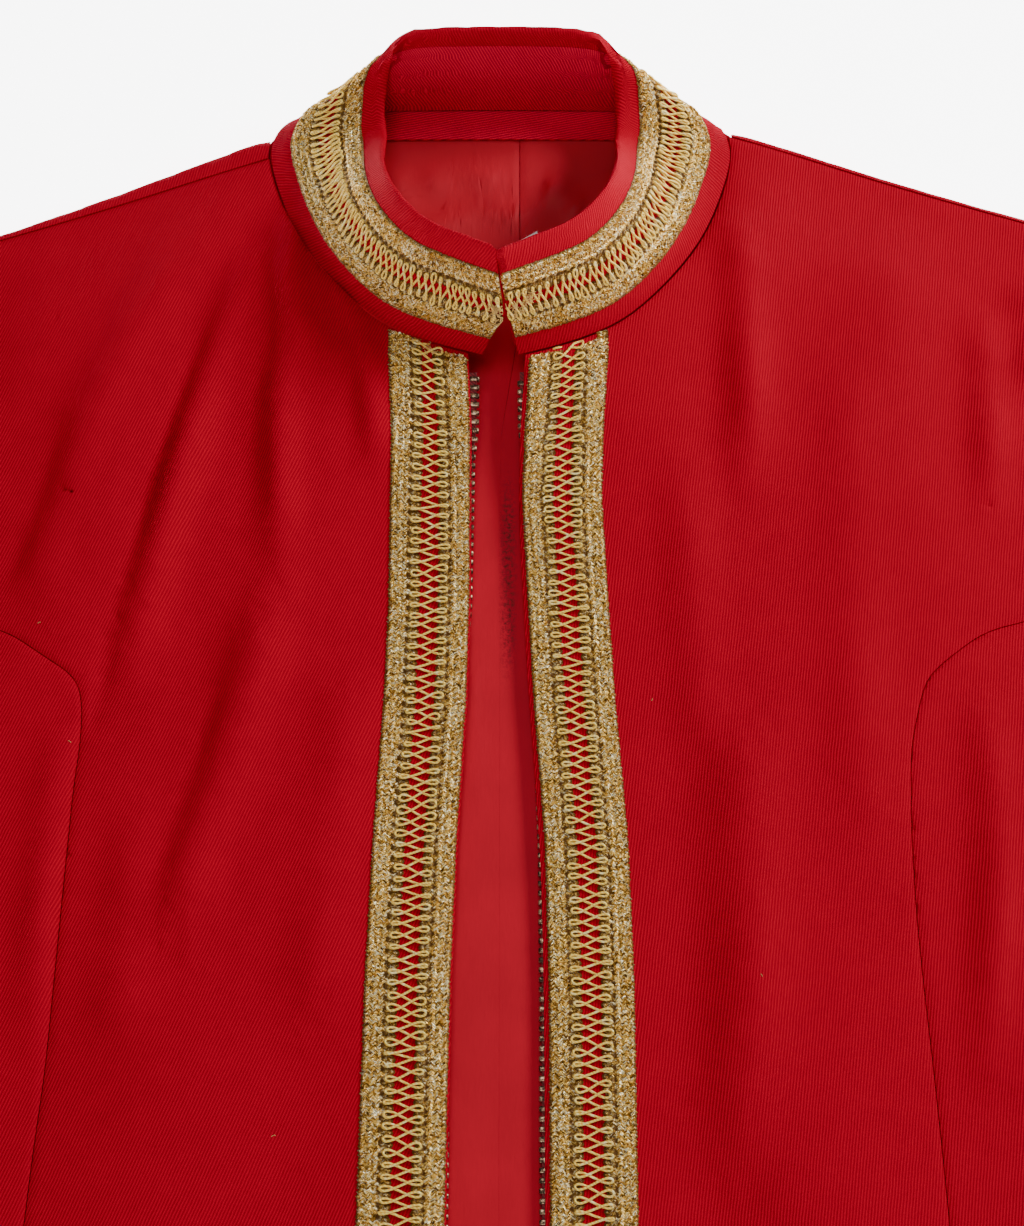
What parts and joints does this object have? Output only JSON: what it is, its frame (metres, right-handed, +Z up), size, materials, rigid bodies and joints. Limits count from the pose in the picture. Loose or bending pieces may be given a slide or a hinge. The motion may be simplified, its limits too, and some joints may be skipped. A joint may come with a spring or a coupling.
{
  "type": "stage jacket with stand collar",
  "caption": "Red wool stage jacket laid flat on its back, with a gold-braided stand collar, braided front edges, an open metal zip and a satin lining.",
  "frame": {"origin": "the middle of the bounding box's base, on the surface that the jacket lies on", "axes": "+X across the jacket towards the wearer's left, +Y from the hem towards the collar, +Z up from the surface"},
  "size_m": [1.012, 0.643, 0.0576],
  "materials": {
    "wool": "red wool twill",
    "gold_lace": "gold metallic lace",
    "satin": "red satin",
    "white_tape": "plain white woven tape",
    "zip_tape": "dark red woven tape",
    "aged_brass": "aged dark brass"
  },
  "bodies": {
    "jacket": {"back": "wool", "right_front": "wool", "left_front": "wool", "right_side_front": "wool", "left_side_front": "wool", "right_sleeve": "wool", "left_sleeve": "wool", "collar": "wool", "collar_facing": "wool", "neck_facing": "wool", "collar_braid": "gold_lace", "right_front_braid": "gold_lace", "left_front_braid": "gold_lace", "right_back_lining": "satin", "left_back_lining": "satin", "label": "white_tape", "right_zip_tape": "zip_tape", "left_zip_tape": "zip_tape", "zip_slider": "aged_brass", "zip_pin": "aged_brass", "zip_box": "aged_brass"},
    "pull": {"zip_pull_tab": "aged_brass"}
  },
  "joints": [
    {"name": "pull_tab_hinge", "type": "hinge", "parent": "jacket", "child": "pull", "pos_m": [-0.00961, -0.30289, 0.00755], "axis": [1, 0, 0], "range_deg": [0, 150]}
  ]
}
